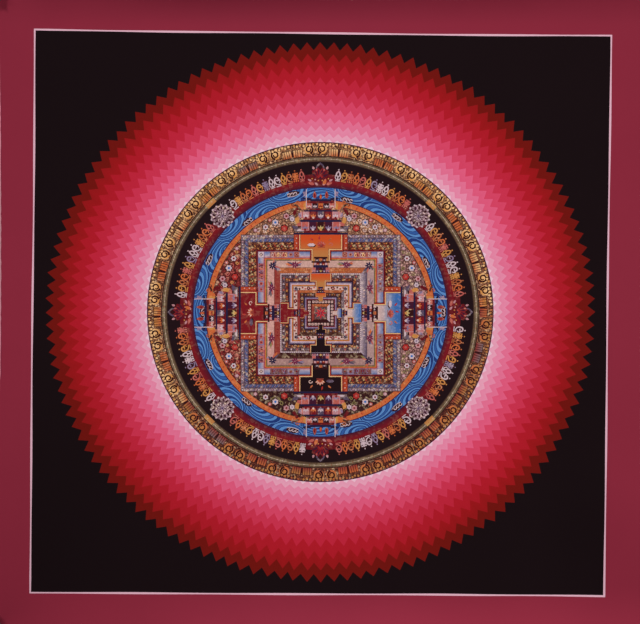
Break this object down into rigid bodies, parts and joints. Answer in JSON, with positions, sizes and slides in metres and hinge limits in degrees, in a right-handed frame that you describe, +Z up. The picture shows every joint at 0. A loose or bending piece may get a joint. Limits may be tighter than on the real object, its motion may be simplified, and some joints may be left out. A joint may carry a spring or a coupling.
{
  "type": "thangka painting on unmounted painted canvas",
  "caption": "Nearly square painted cotton canvas with a mandala in a serrated ring of rays, hung by its top edge, its ends curling slightly forward.",
  "frame": {"origin": "middle of the cloth's top edge, halfway through its thickness, where it is held", "axes": "+X along the cloth's width to the viewer's right, +Z up, the painted face looks along -Y"},
  "size_m": [0.6446, 0.024, 0.6288],
  "materials": {
    "painted_canvas": "matt gouache on fine primed cotton, raspberry margin, near-black ground, rose and red rays, thin gold"
  },
  "bodies": {
    "root": {"painted_canvas": "painted_canvas"}
  },
  "joints": []
}
